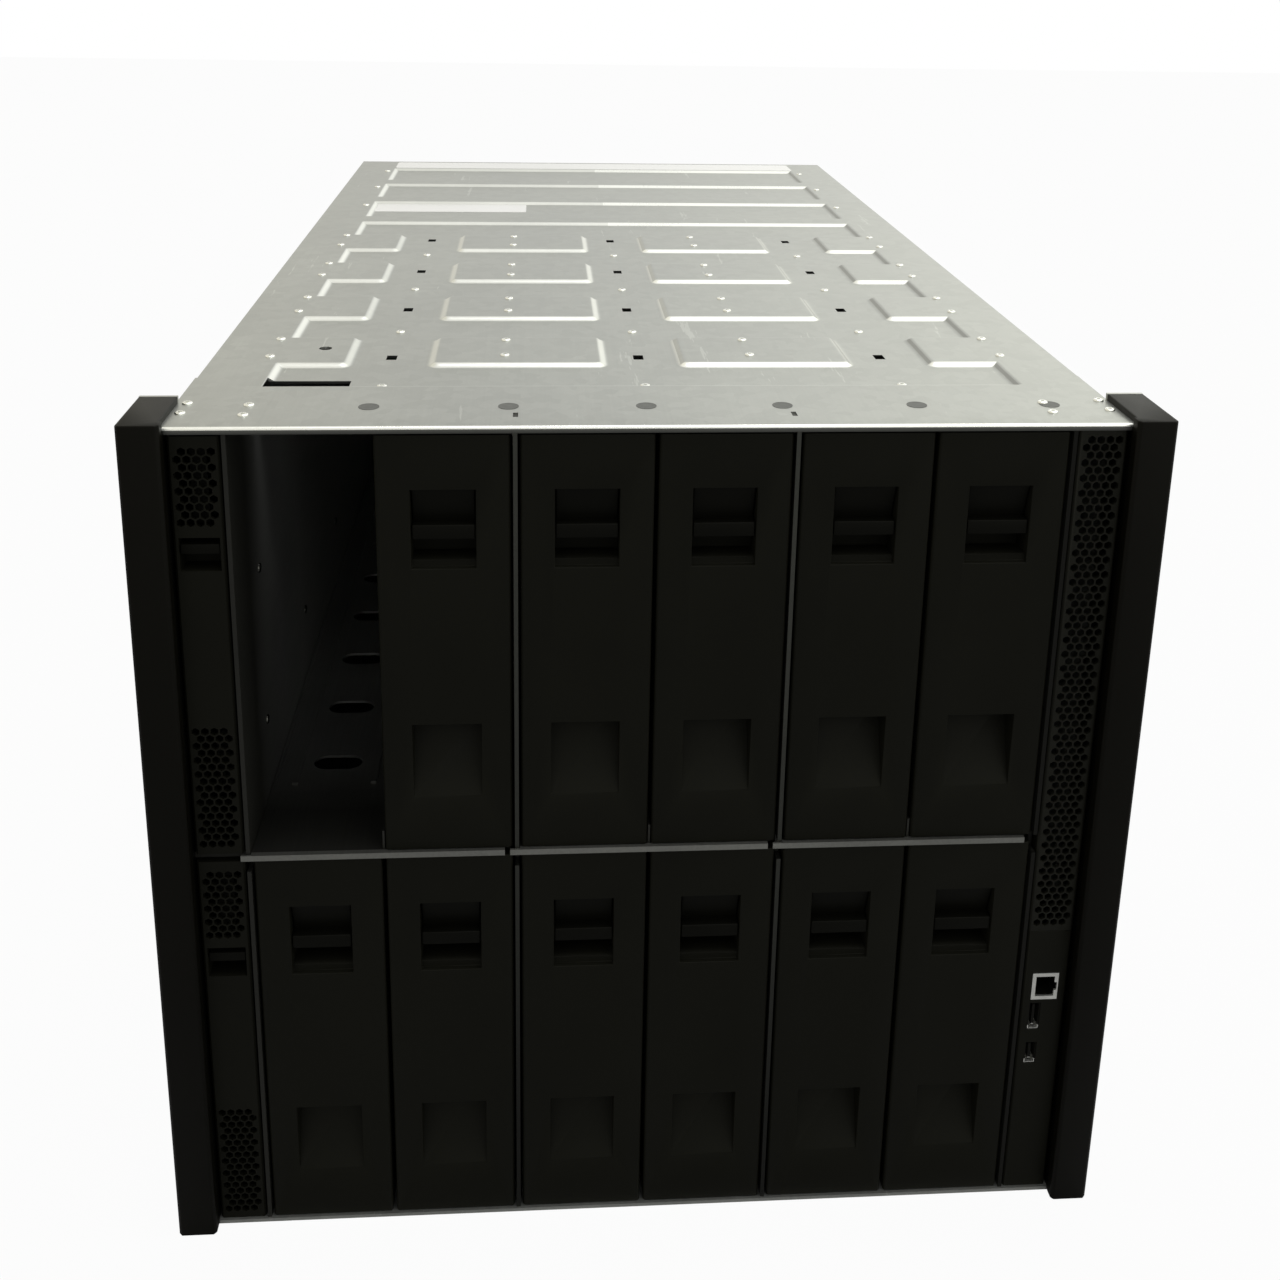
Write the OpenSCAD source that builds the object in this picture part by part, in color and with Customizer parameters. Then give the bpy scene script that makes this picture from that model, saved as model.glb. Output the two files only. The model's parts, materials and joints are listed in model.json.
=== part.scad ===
// Ten-unit blade server chassis: a sheet-steel case with twelve half-height compute bays at the front,
// a narrow equipment column on each side, a midplane board, and fans, power supplies and filler panels
// at the rear. Millimetres, +Z up, +Y towards the rear, origin under the middle of the whole object.

/* [Compute bays] */
// Spacing of the compute bays across the frame
bay_pitch = 65.3; // [63:0.1:68]
// Clear height of one half-height bay
bay_h = 216.1; // [206:0.1:228]
// Depth from the front edge of the case to the midplane board
bay_depth = 575; // [550:1:600]
// Clear width of the equipment column on each side
side_bay_w = 25.1; // [23.5:0.1:28]
// Thickness of the bay walls and dividers
partition_t = 2; // [1.6:0.1:2.4]
// Height of the front lip of a half-height shelf
shelf_h = 3; // [2.6:0.1:4]
// Thickness of the shelf sheet behind its lip
shelf_t = 1.5; // [1:0.1:2]
// Depth of a half-height shelf
shelf_d = 540; // [480:5:545]

/* [Case sheets] */
// Length of the case from the cover's front edge to the rear
frame_d = 813; // [795:1:840]
// Thickness of the side walls
side_t = 1.5; // [1.2:0.1:2]
// Thickness of the base pan
floor_t = 2; // [1.6:0.1:3]
// Thickness of the top cover
cover_t = 1.3; // [1:0.1:1.6]
// Depth of the stamped fields in the cover
emboss_h = 2; // [1.4:0.1:2.6]
// Depth of the rail under the cover's front edge
rail_d = 54; // [40:1:58]

/* [Cover stamping] */
// Distance from the front edge to the stamped field
field_y = 62.5; // [60:0.5:66]
// Width of the plain margin on each side of the field
cover_margin = 33.5; // [30:0.5:38]
// Radius of the corners of the pads and fields, seen from above
press_corner = 4; // [3:0.5:6]
// Width of a full raised pad
pad_w = 85; // [70:1:95]
// Depth of a raised pad
pad_d = 48.5; // [40:0.5:56]
// Width of the half pads that grow out of the margins
edge_pad_w = 34.5; // [28:0.5:38]
// Spacing of the pad rows
pad_pitch = 97; // [92:0.5:99]
// Spacing of the square locating holes
locator_pitch = 104.5; // [100:0.5:106]

/* [Bay blanks] */
// Depth of a bay blank
blank_d = 48; // [36:1:52]
// Wall thickness of the moulded blanks
blank_wall = 2.2; // [1.8:0.1:2.6]
// Gap between a blank and the wall beside it
blank_gap = 1.2; // [0.8:0.1:1.5]
// Gap between two blanks in one zone
blank_mid_gap = 2; // [1.8:0.1:2.4]
// Gap above a blank
blank_top_gap = 1.2; // [1:0.1:2]
// Width of the finger recess of a compute blank
grip_w = 30; // [26:0.5:34]
// Height of the finger recess
grip_h = 39; // [36:0.5:42]
// Depth of the finger recess
grip_d = 16; // [14:0.5:20]
// Distance from a blank's top edge to its finger recess
grip_drop = 26.7; // [20:0.1:32]
// Distance that the latch bar can be squeezed down
latch_travel = 5; // [3:0.1:6]
// Width of the thumb scoop
scoop_w = 33; // [28:0.5:36]
// Height of the thumb scoop
scoop_h = 39.5; // [34:0.5:44]
// Depth of the thumb scoop at its upper end
scoop_d = 18; // [12:0.5:22]
// Distance from a blank's top edge to its thumb scoop
scoop_drop = 146.7; // [130:0.1:152]

/* [Equipment columns] */
// Distance from the top of a column blank to its finger recess
slim_grip_drop = 49; // [40:0.5:56]
// Height of the finger recess of a column blank
slim_grip_h = 16.5; // [15:0.5:20]
// Height of the plain face below that recess
plain_h = 77; // [60:1:84]
// Width of a grille cell, corner to corner
cell_d = 4.2; // [3.4:0.1:4.6]
// Spacing of the grille cells
cell_pitch = 4.4; // [4.3:0.05:5.2]
// Height of the front panel in the right-hand column
panel_h = 162; // [150:1:175]

/* [Rack ears] */
// Width of a rack ear beyond the case
flange_w = 17.8; // [16.5:0.1:20]
// Depth of the plastic ear cover
ear_d = 43.4; // [36:0.1:50]
// Distance that the ear cover stands ahead of the case
ear_proud = 7; // [5:0.1:10]
// Height of the ear above the top cover
ear_rise = 3.2; // [1:0.1:5]
// Wall thickness of the ear cover
ear_wall = 2.2; // [1.8:0.1:2.8]
// Thickness of the steel rack flange
flange_t = 2; // [1.6:0.1:2.6]
// Half the width of a rack screw slot
slot_r = 3.5; // [3.3:0.05:3.6]
// End-to-end length of a rack screw slot
slot_l = 10; // [9:0.1:11]
// Distance from the ear's outer edge to the screw line
slot_inset = 8.75; // [8.3:0.05:9.2]

/* [Rear modules] */
// Thickness of the midplane board
midplane_t = 3; // [2.4:0.1:4]
// Height of the power supply row
psu_h = 40; // [36:0.5:44]
// Height of a fan row
fan_h = 78; // [73:0.5:84]
// Depth of a fan module
fan_d = 90; // [75:1:105]
// Number of fans in a row
fan_count = 5; // [5:1:5]
// Number of power supplies
psu_count = 6; // [6:1:6]
// Height of an interconnect bay
link_bay_h = 30; // [28:0.5:33]
// Thickness of the sheets between the rear rows
rear_sheet_t = 1.2; // [1:0.1:1.6]
// Distance that the pull handles stand behind the case
handle_d = 20; // [16:0.5:28]
// Radius of a fan's fixed shaft
shaft_r = 2; // [1.5:0.1:2.5]

/* [Hidden] */
$fn = 48;
rack_unit = 44.45;
rack_height_allowance = 0.8;
seat_gap = 0.3;                 // under a piece that slides on its seat
shaft_gap = 0.05;               // radial play of a rotor on its shaft
jack_gap = 0.1;
column_gap = 1;
case_front = 1;                 // front edges of the bay walls, behind the cover's front edge
face_y = 1.5;                   // front faces of the blanks
lip_t = 1.2;
lip_back = case_front - seat_gap;
lip_over = 3.4;                 // the shelf lip reaches over the divider on its left
lip_short = 6;                  // and stops short of the next lip
shelf_gap = 0.4;                // between a shelf and what it slides past
hook_gap_h = 7;
hook_gap_d = 7;
shelf_hem_d = 56;
shelf_slot_pitch = 60;
shelf_slot_l = 26;
shelf_slot_r = 7;
fin_t = 1;
fin_h = 10;
fin_l = 26;
shelf_slot_margin = 20;
shelf_slot_end = shelf_d - shelf_slot_r - shelf_slot_margin;
air_y = 130;
air_pitch = 60;
air_z = 50;
air_hole_r = 11;
ledge_w = 6;
ledge_y = 64;
guide_w = 3;
guide_inset = 9;
guide_start = 8;
rail_y = 4;
tab_y = 14;
tab_l = 6;
tab_fit = 0.2;
disc_d = 10;
disc_y = 30;
disc_shift = 3.5;
locator_y = 121;
pad_y = 105.5;
pad_rows = 4;
locator_rows = 4;
locator = [6, 5];
locator_shift = 1.3;
slot_window = [41.2, 13];
slot_window_inset = [0.8, 0.5];
inspection_d = 7;
inspection_x = 22;
inspection_y = 27;
field_tail = 54;
rear_margin = 42;
conn_d = 20;
grille_face_t = 2;
grille_edge = 2;
grille_side = 1.4;
sheet_gap = 0.1;
grille_d = 18;
panel_d = 40;
hex_row = sin(60);
side_flange_w = 13;
channel_depth = 0.8;
channel_w = 24;
channel_front = 120;
channel_back = 90;
lift_y = 150;
lift_pitch = 90;
lift_hole_r = 4;

steel = [0.70, 0.72, 0.72];
bright_steel = [0.82, 0.83, 0.82];
black_plastic = [0.09, 0.09, 0.08];
charcoal = [0.17, 0.16, 0.16];
board_green = [0.08, 0.25, 0.14];

partition_x = [for (i = [-3, -1, 1, 3]) i * bay_pitch];
wall_x = partition_x[3] + partition_t / 2 + side_bay_w;
body_half = wall_x + side_t;
ear_x = body_half + flange_w;
shelf_z = floor_t + bay_h;
upper_z = shelf_z + shelf_h;
roof_z = upper_z + bay_h;
cover_z = roof_z + emboss_h;
frame_h = cover_z + cover_t;
ear_h = frame_h + ear_rise;
front_y = ear_proud - (ear_proud + frame_d + handle_d) / 2;

blank_w = bay_pitch - partition_t / 2 - blank_gap - blank_mid_gap / 2;
blank_h = bay_h - seat_gap - blank_top_gap;
grip_z = blank_h - grip_drop - grip_h;
scoop_z = blank_h - scoop_drop - scoop_h;
slim_w = side_bay_w - 2 * column_gap;
slim_grip_w = slim_w - 2 * blank_wall;
slim_grip_d = 12;
slim_grip_z = blank_h - slim_grip_drop - slim_grip_h;
slim_travel = 3.5;
column_x = (partition_x[3] + partition_t / 2 + wall_x) / 2;

field_half = body_half - cover_margin;
field_end = pad_y + (pad_rows - 1) * pad_pitch + pad_d + field_tail;
rib_w = 21;
rear_bands = [for (i = [0 : 2]) let (w = (frame_d - rear_margin - field_end) / 3)
    [field_end + i * w + rib_w, field_end + (i + 1) * w]];

rack_units = floor((ear_h + rack_height_allowance + 0.01) / rack_unit);
slot_rows = [1, 4, rack_units - 3, rack_units];
link_row_h = roof_z - floor_t - 9 * rear_sheet_t - psu_h - 2 * fan_h - 6 * link_bay_h;
row_h = [psu_h, fan_h, link_bay_h, link_bay_h, link_bay_h, link_row_h, link_bay_h, link_bay_h, link_bay_h,
    fan_h];
function row_z(k) = k == 0 ? floor_t : row_z(k - 1) + row_h[k - 1] + rear_sheet_t;
function row_mid(k) = row_z(k) + row_h[k] / 2;
fan_pitch = 2 * wall_x / fan_count;
psu_pitch = 2 * wall_x / psu_count;
function psu_x(i) = -wall_x + (i + 0.5) * psu_pitch;
rear_y = bay_depth + midplane_t;
psu_front = rear_y + conn_d + seat_gap;
module_gap = 0.6;
fan_rows = [1, 9];
fan_bore_r = fan_h / 2 - 4;

// A box given by its ranges along X, Y and Z
module block(x, y, z) {
    translate([x[0], y[0], z[0]]) cube([x[1] - x[0], y[1] - y[0], z[1] - z[0]]);
}

module rect(x, y) {
    translate([x[0], y[0]]) square([x[1] - x[0], y[1] - y[0]]);
}

module rounded_rect(x, y, r) {
    rect([x[0] + r, x[1] - r], y);
    rect(x, [y[0] + r, y[1] - r]);
    for (cx = [x[0] + r, x[1] - r], cy = [y[0] + r, y[1] - r]) translate([cx, cy]) circle(r = r);
}

// Depths are written from the cover's front edge
module from_front() {
    translate([0, front_y, 0]) children();
}

module on_side(side) {
    if (side < 0) mirror([1, 0, 0]) children();
    else children();
}

// Extrudes an outline drawn in Y and Z along X
module along_x(x) {
    translate([x[0], 0, 0]) rotate([90, 0, 90]) linear_extrude(x[1] - x[0]) children();
}

// Extrudes an outline drawn in X and Z along Y
module along_y(y) {
    translate([0, y[1], 0]) rotate([90, 0, 0]) linear_extrude(y[1] - y[0]) children();
}

module rounded_slot(length, r, h) {
    for (s = [-1, 1]) translate([s * (length / 2 - r), 0, 0]) cylinder(r = r, h = h);
    translate([-length / 2 + r, -r, 0]) cube([length - 2 * r, 2 * r, h]);
}

// Staggered hexagonal cells that fit a rectangle
module cell_field(w, h, d = cell_d, pitch = cell_pitch) {
    cols = floor((w - d - pitch / 2) / pitch);
    rows = floor((h - d) / (pitch * hex_row));
    x0 = (w - (cols + 0.5) * pitch) / 2;
    z0 = (h - rows * pitch * hex_row) / 2;
    for (j = [0 : rows], i = [0 : cols])
        translate([x0 + (i + (j % 2) / 2) * pitch, z0 + j * pitch * hex_row]) rotate(30) circle(d = d, $fn = 6);
}

function bay_x(col) = let (zone = floor((col - 1) / 2))
    col % 2 == 1 ? partition_x[zone] + partition_t / 2 + blank_gap
                 : partition_x[zone + 1] - partition_t / 2 - blank_gap - blank_w;

module base_pan() {
    color(steel) from_front() block([-wall_x, wall_x], [0, frame_d], [0, floor_t]);
}

module side_wall(side) {
    color(steel) from_front() on_side(side) {
        difference() {
            block([wall_x, body_half], [0, frame_d], [0, cover_z]);
            // Two long stiffening channels pressed in from outside
            for (z = [floor_t, upper_z])
                block([body_half - channel_depth, body_half + 1], [channel_front, frame_d - channel_back],
                      [z + (bay_h - channel_w) / 2, z + (bay_h + channel_w) / 2]);
            // Holes for the lifting handles
            for (y = [lift_y, frame_d - lift_y], s = [-1, 1])
                translate([wall_x - 1, y + s * lift_pitch / 2, shelf_z]) rotate([0, 90, 0])
                    cylinder(r = lift_hole_r, h = side_t + 2);
        }
        block([wall_x - side_flange_w, wall_x], [field_y, frame_d], [cover_z - side_t, cover_z]);
    }
}

// The sunk areas of the cover, grown outwards by a sheet thickness for the underside
module stamped_fields(grow) {
    across = [-field_half - grow, field_half + grow];
    outer_r = press_corner + grow;
    pad_r = press_corner - grow;
    difference() {
        rounded_rect(across, [field_y - grow, field_end + grow], outer_r);
        for (i = [0 : pad_rows - 1]) {
            y = [pad_y + i * pad_pitch + grow, pad_y + i * pad_pitch + pad_d - grow];
            for (x = [partition_x[1], partition_x[2]])
                rounded_rect([x - pad_w / 2 + grow, x + pad_w / 2 - grow], y, pad_r);
            for (s = [0, 1]) mirror([s, 0])
                rounded_rect([field_half - edge_pad_w + grow, field_half + outer_r + pad_r + 1], y, pad_r);
        }
    }
    for (band = rear_bands) rounded_rect(across, [band[0] - grow, band[1] + grow], outer_r);
}

module top_cover() {
    color(steel) from_front() difference() {
        block([-body_half, body_half], [0, frame_d], [roof_z, frame_h]);
        translate([0, 0, roof_z + cover_t]) linear_extrude(emboss_h + 1) stamped_fields(0);
        translate([0, 0, roof_z - 1]) linear_extrude(emboss_h + 1) difference() {
            rect([-body_half - 1, body_half + 1], [cover_t, frame_d + 1]);
            stamped_fields(cover_t);
        }
        // Square locating holes, row by row
        for (i = [-2, 0, 2], j = [0 : locator_rows - 1])
            translate([i * bay_pitch - locator_shift, locator_y + j * locator_pitch, roof_z - 1])
                linear_extrude(emboss_h + cover_t + 2) square(locator, center = true);
        // Flush clinch marks over the bay edges
        for (i = [-2 : 3])
            translate([i * bay_pitch - disc_shift, disc_y, frame_h - 0.4]) cylinder(d = disc_d, h = 1);
        // Slots that take the dividers' tabs
        for (x = [partition_x[1], partition_x[2]])
            block([x - partition_t / 2 - tab_fit, x + partition_t / 2 + tab_fit],
                  [tab_y - tab_fit, tab_y + tab_l + tab_fit], [cover_z - 1, frame_h + 1]);
        // Access slot and inspection hole at the front left
        translate([slot_window_inset[0] - field_half, field_y + slot_window_inset[1], roof_z - 1])
            cube([slot_window[0], slot_window[1], cover_t + 2]);
        translate([inspection_x - field_half, pad_y + inspection_y, cover_z - 1])
            cylinder(d = inspection_d, h = cover_t + 2);
    }
}

module front_top_rail() {
    color(steel) from_front() difference() {
        block([-wall_x, wall_x], [rail_y, rail_y + rail_d], [roof_z, cover_z]);
        for (x = [partition_x[1], partition_x[2]])
            block([x - partition_t / 2 - tab_fit, x + partition_t / 2 + tab_fit],
                  [tab_y - tab_fit, tab_y + tab_l + tab_fit], [roof_z - 1, cover_z + 1]);
    }
}

// A bay wall or divider; ledges lists the sides that carry a shelf
module partition(x, ledges, divider) {
    color(bright_steel) from_front() translate([x, 0, 0]) {
        difference() {
            union() {
                block([-partition_t / 2, partition_t / 2], [case_front, bay_depth], [floor_t, roof_z]);
                if (divider)
                    block([-partition_t / 2, partition_t / 2], [tab_y, tab_y + tab_l],
                          [roof_z - 1, frame_h - 0.4]);
            }
            // Gap that lets the shelf's lip and hook pass
            block([-partition_t, partition_t], [0, case_front + hook_gap_d],
                  [shelf_z - hook_gap_h, upper_z + seat_gap]);
            if (divider)
                for (y = [air_y : air_pitch : bay_depth - air_pitch],
                     z = [floor_t + air_z, shelf_z - air_z, upper_z + air_z, roof_z - air_z])
                    translate([-partition_t, y, z]) rotate([0, 90, 0])
                        cylinder(r = air_hole_r, h = 2 * partition_t);
        }
        for (s = ledges) on_side(s)
            block([partition_t / 2, partition_t / 2 + ledge_w], [ledge_y, bay_depth - 10],
                  [shelf_z - seat_gap - shelf_t, shelf_z - seat_gap]);
    }
}

// The left bay wall also carries the separate shelf between the two column blanks
module bay_wall_left() {
    partition(partition_x[0], [1], false);
    color(bright_steel) from_front()
        block([-wall_x + sheet_gap, partition_x[0] - partition_t / 2 - sheet_gap],
              [rail_y, bay_depth - 10], [shelf_z, upper_z]);
}

module rack_slots(h) {
    for (u = slot_rows)
        translate([ear_x - slot_inset, 0, (u - 0.5) * rack_unit - rack_height_allowance / 2])
            rotate([-90, 0, 0]) rounded_slot(slot_l, slot_r, h);
}

flange_leg = 46;

module rack_flanges() {
    y0 = ear_d - ear_proud;
    color(steel) from_front() for (side = [-1, 1]) on_side(side) difference() {
        union() {
            block([body_half, ear_x], [y0, y0 + flange_t], [0, ear_h]);
            block([body_half, body_half + flange_t], [y0, y0 + flange_leg], [0, cover_z]);
        }
        translate([0, y0 - 1, 0]) rack_slots(flange_t + 2);
    }
}

// Moulded cap over the rack screws, open towards the rack
module ear_cover(side) {
    y0 = -ear_proud;
    y1 = ear_d - ear_proud;
    edge = 1.5;
    color(charcoal) from_front() on_side(side) difference() {
        linear_extrude(ear_h)
            polygon([[wall_x, 0], [wall_x, y0 + edge], [wall_x + edge, y0], [ear_x - edge, y0],
                     [ear_x, y0 + edge], [ear_x, y1], [body_half, y1], [body_half, 0]]);
        block([body_half + ear_wall, ear_x - ear_wall], [y0 + ear_wall, y1 + 1], [ear_wall, ear_h - ear_wall]);
    }
}

// Hollow moulding with its open side at the rear and bevelled front edges
module tray(w, d, h, wall) {
    bevel = 1;
    difference() {
        linear_extrude(h)
            polygon([[0, bevel], [bevel, 0], [w - bevel, 0], [w, bevel], [w, d], [0, d]]);
        block([wall, w - wall], [wall, d + 1], [wall, h - wall]);
    }
}

stem_w = 10;
stem_y = [11.5, 13.5];
stem_play = 0.4;
ledge_h = 3.3;
stiffener_t = 1.6;
stiffener_d = 0.7 * blank_d;
stiffener_drop = 14;

// Half-height compute bay blank with a finger recess, latch guide and thumb scoop
module bay_blank(place) {
    cx = blank_w / 2;
    grip_x = [cx - grip_w / 2, cx + grip_w / 2];
    scoop_x = [cx - scoop_w / 2, cx + scoop_w / 2];
    stem_x = [cx - stem_w / 2 - stem_play, cx + stem_w / 2 + stem_play];
    color(black_plastic) at_bay(place) difference() {
        union() {
            tray(blank_w, blank_d, blank_h, blank_wall);
            block([grip_x[0] - blank_wall, grip_x[1] + blank_wall], [1, grip_d + blank_wall],
                  [grip_z - blank_wall, grip_z + grip_h + blank_wall]);
            intersection() {
                translate([0, 0, scoop_z]) along_x([scoop_x[0] - blank_wall, scoop_x[1] + blank_wall])
                    scoop_outline(blank_wall);
                block([0, blank_w], [blank_wall / 2, blank_d], [0, blank_h]);
            }
            for (z = [scoop_z / 2, (grip_z + scoop_z + scoop_h) / 2, blank_h - stiffener_drop])
                difference() {
                    block([blank_wall, blank_w - blank_wall], [blank_wall, stiffener_d], [z, z + stiffener_t]);
                    block(stem_x, [stem_y[0] - stem_play, stem_y[1] + stem_play], [z - 1, z + 3]);
                }
        }
        translate([0, 0, grip_z]) along_x(grip_x)
            polygon([[-1, 0], [3, 0], [3, ledge_h], [grip_d, ledge_h], [grip_d, grip_h], [-1, grip_h]]);
        block(stem_x, [stem_y[0] - stem_play, stem_y[1] + stem_play], [grip_z + grip_h - 1, blank_h + 1]);
        translate([0, 0, scoop_z]) along_x(scoop_x) scoop_outline(0);
    }
}

// Outline of the scoop in Y and Z: its floor rises from the face and is deepest at its upper end
module scoop_outline(wall) {
    polygon([[-1, -wall], [0, -wall], [scoop_d + wall, scoop_h], [scoop_d + wall, scoop_h + wall],
             [-1, scoop_h + wall]]);
}

module at_bay(place) {
    from_front()
        translate([bay_x(place[0]), face_y, (place[1] == 1 ? upper_z : floor_t) + seat_gap]) children();
}

// Squeeze bar of a compute blank, its sloped finger plate and the stem that reaches the bay's roof
module blank_latch(place) {
    cx = blank_w / 2;
    half = grip_w / 2 - 0.6;
    color(black_plastic) at_bay(place) {
        translate([0, 0, grip_z]) along_x([cx - half, cx + half])
            polygon([[1, 14.5], [5.5, 14.5], [5.5, 19.5], [stem_y[1], 19.5], [stem_y[1], grip_h - 0.4],
                     [stem_y[0], grip_h - 0.4], [stem_y[0], 21.5], [9.5, 21.5], [3.8, grip_h - 0.4],
                     [1.8, grip_h - 0.4], [7.5, 21.5], [1, 21.5]]);
        block([cx - stem_w / 2, cx + stem_w / 2], stem_y, [grip_z + grip_h - 2, blank_h + blank_top_gap / 2]);
    }
}

module at_column(row) {
    from_front()
        translate([-wall_x + column_gap, face_y, (row == 1 ? upper_z : floor_t) + seat_gap]) children();
}

slim_stem_w = 8;
slim_stem_y = [8, 10];

// Blank of the left-hand equipment column, with two grilles and a small finger recess
module column_blank(row) {
    cx = slim_w / 2;
    stem_x = [cx - slim_stem_w / 2 - stem_play, cx + slim_stem_w / 2 + stem_play];
    stem_slot_y = [slim_stem_y[0] - stem_play, slim_stem_y[1] + stem_play];
    color(black_plastic) at_column(row) difference() {
        union() {
            tray(slim_w, blank_d, blank_h, blank_wall);
            block([blank_wall / 2, slim_w - blank_wall / 2], [1, slim_grip_d + blank_wall],
                  [slim_grip_z - blank_wall, slim_grip_z + slim_grip_h + blank_wall]);
        }
        block([blank_wall, slim_w - blank_wall], [-1, slim_grip_d], [slim_grip_z, slim_grip_z + slim_grip_h]);
        block(stem_x, stem_slot_y, [slim_grip_z, blank_h + 1]);
        for (z = [[slim_grip_z + slim_grip_h + blank_wall, blank_h - blank_wall],
                  [0, slim_grip_z - plain_h]])
            translate([grille_side, 0, z[0] + grille_edge]) along_y([-1, blank_wall + 0.1])
                cell_field(slim_w - 2 * grille_side, z[1] - z[0] - 2 * grille_edge);
    }
}

module column_latch(row) {
    cx = slim_w / 2;
    half = slim_grip_w / 2 - 0.5;
    color(black_plastic) at_column(row) {
        translate([0, 0, slim_grip_z]) along_x([cx - half, cx + half])
            polygon([[1, 8], [5, 8], [5, 10], [slim_stem_y[1], 10], [slim_stem_y[1], slim_grip_h - 0.4],
                     [slim_stem_y[0], slim_grip_h - 0.4], [slim_stem_y[0], 13], [1, 13]]);
        block([cx - slim_stem_w / 2, cx + slim_stem_w / 2], slim_stem_y,
              [slim_grip_z + slim_grip_h - 2, blank_h + blank_top_gap / 2]);
    }
}

// Removable half-height shelf of one two-column zone
module bay_shelf(zone) {
    left = partition_x[zone];
    right = partition_x[zone + 1];
    inner = [left + partition_t / 2 + shelf_gap, right - lip_over - shelf_gap];
    mid = (left + right) / 2;
    color(bright_steel) from_front() {
        block([left - lip_over, right - lip_short], [lip_back - lip_t, lip_back], [shelf_z, upper_z]);
        difference() {
            union() {
                block([inner[0], right - lip_short], [lip_back - 0.1, hook_gap_d], [shelf_z, upper_z]);
                block(inner, [hook_gap_d - 1, shelf_hem_d], [shelf_z, upper_z]);
                block(inner, [shelf_hem_d - 1, shelf_d], [shelf_z, shelf_z + shelf_t]);
                // Side flanges and the ribs that the compute modules slide on
                for (x = [inner[0], inner[1] - shelf_t])
                    block([x, x + shelf_t], [shelf_hem_d - 1, shelf_d], [shelf_z, upper_z]);
                for (c = [2 * zone + 1, 2 * zone + 2], x = [guide_inset, blank_w - guide_inset - guide_w])
                    block([bay_x(c) + x, bay_x(c) + x + guide_w],
                          [shelf_hem_d + guide_start, shelf_d - shelf_slot_margin], [shelf_z, upper_z]);
            }
            for (s = [-1, 1],
                 y = [shelf_hem_d + shelf_slot_pitch / 2 : shelf_slot_pitch : shelf_slot_end])
                translate([mid + s * bay_pitch / 2, y, shelf_z - 1])
                    rounded_slot(shelf_slot_l, shelf_slot_r, shelf_t + 2);
        }
        block([mid - fin_t / 2, mid + fin_t / 2], [case_front + 2, case_front + 2 + fin_l],
              [upper_z - 1, upper_z + fin_h]);
    }
}

module side_grille() {
    x0 = column_x - slim_w / 2;
    z0 = floor_t + panel_h;
    h = roof_z - z0;
    color(black_plastic) from_front() translate([x0, face_y, z0]) difference() {
        tray(slim_w, grille_d, h, grille_face_t);
        translate([grille_side, 0, grille_edge]) along_y([-1, grille_face_t + 0.1])
            cell_field(slim_w - 2 * grille_side, h - 2 * grille_edge);
    }
}

jack_w = 13.8;
jack_h = 15.9;
jack_open = [9.9, 11.9];
clip_slot = [6.3, 4.8];
jack_depth = 18;
jack_drop = 25.75;
jack_proud = 0.3;
jack_z = floor_t + panel_h - jack_drop - jack_h;
port_x = column_x - 4;
port_depth = 14;
port_rim = 0.5;
port_recess = 0.8;
tongue_t = 1.4;
display_w = 5.8;
display_h = 16.4;
display_z = jack_z - 2.6 - display_h;
usb_w = 5.8;
usb_h = 13.1;
usb_z = display_z - 8.2 - usb_h;
panel_t = 2.4;

// Each socket: middle along X, width, lowest point, height, depth, size of its opening
sockets = [
    [column_x, jack_w, jack_z, jack_h, jack_depth, jack_open],
    [port_x, display_w, display_z, display_h, port_depth, [display_w - 2 * port_rim, display_h - 2 * port_rim]],
    [port_x, usb_w, usb_z, usb_h, port_depth, [usb_w - 2 * port_rim, usb_h - 2 * port_rim]]
];

// Front panel of the right-hand column, with its jack openings
module front_panel() {
    color(black_plastic) from_front() difference() {
        translate([column_x - slim_w / 2, face_y, floor_t]) tray(slim_w, panel_d, panel_h, panel_t);
        for (j = sockets)
            block([j[0] - j[1] / 2 - jack_gap, j[0] + j[1] / 2 + jack_gap], [0, face_y + panel_t + 1],
                  [j[2] - jack_gap, j[2] + j[3] + jack_gap]);
    }
}

// Hollow metal shells of the network, display and service sockets
module panel_jacks() {
    back_t = 2;
    color(bright_steel) from_front() {
        for (j = sockets) {
            mid_z = j[2] + j[3] / 2;
            shell_y = face_y + (j[5] == jack_open ? -jack_proud : port_recess);
            difference() {
                block([j[0] - j[1] / 2, j[0] + j[1] / 2], [shell_y, face_y + j[4]], [j[2], j[2] + j[3]]);
                block([j[0] - j[5][0] / 2, j[0] + j[5][0] / 2], [0, face_y + j[4] - back_t],
                      [mid_z - j[5][1] / 2, mid_z + j[5][1] / 2]);
                // Slot for the network plug's clip
                if (j[5] == jack_open)
                    block([j[0], j[0] + clip_slot[0]], [0, face_y + j[4] - back_t],
                          [mid_z - clip_slot[1] / 2, mid_z + clip_slot[1] / 2]);
            }
            // Contact tongue of the small sockets
            if (j[5] != jack_open)
                block([j[0] - tongue_t / 2, j[0] + tongue_t / 2], [face_y + 2, face_y + j[4] - back_t + 0.5],
                      [j[2] + 2 * port_rim + 1, j[2] + j[3] - 2 * port_rim - 1]);
        }
    }
}

win_h = 54;
win_w = bay_pitch - 20;
front_conn = [16, 14, 64];
rear_conn_w = 90;
rear_conn_h = 14;
rear_conn_x = 90;
psu_conn_w = 40;

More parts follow.
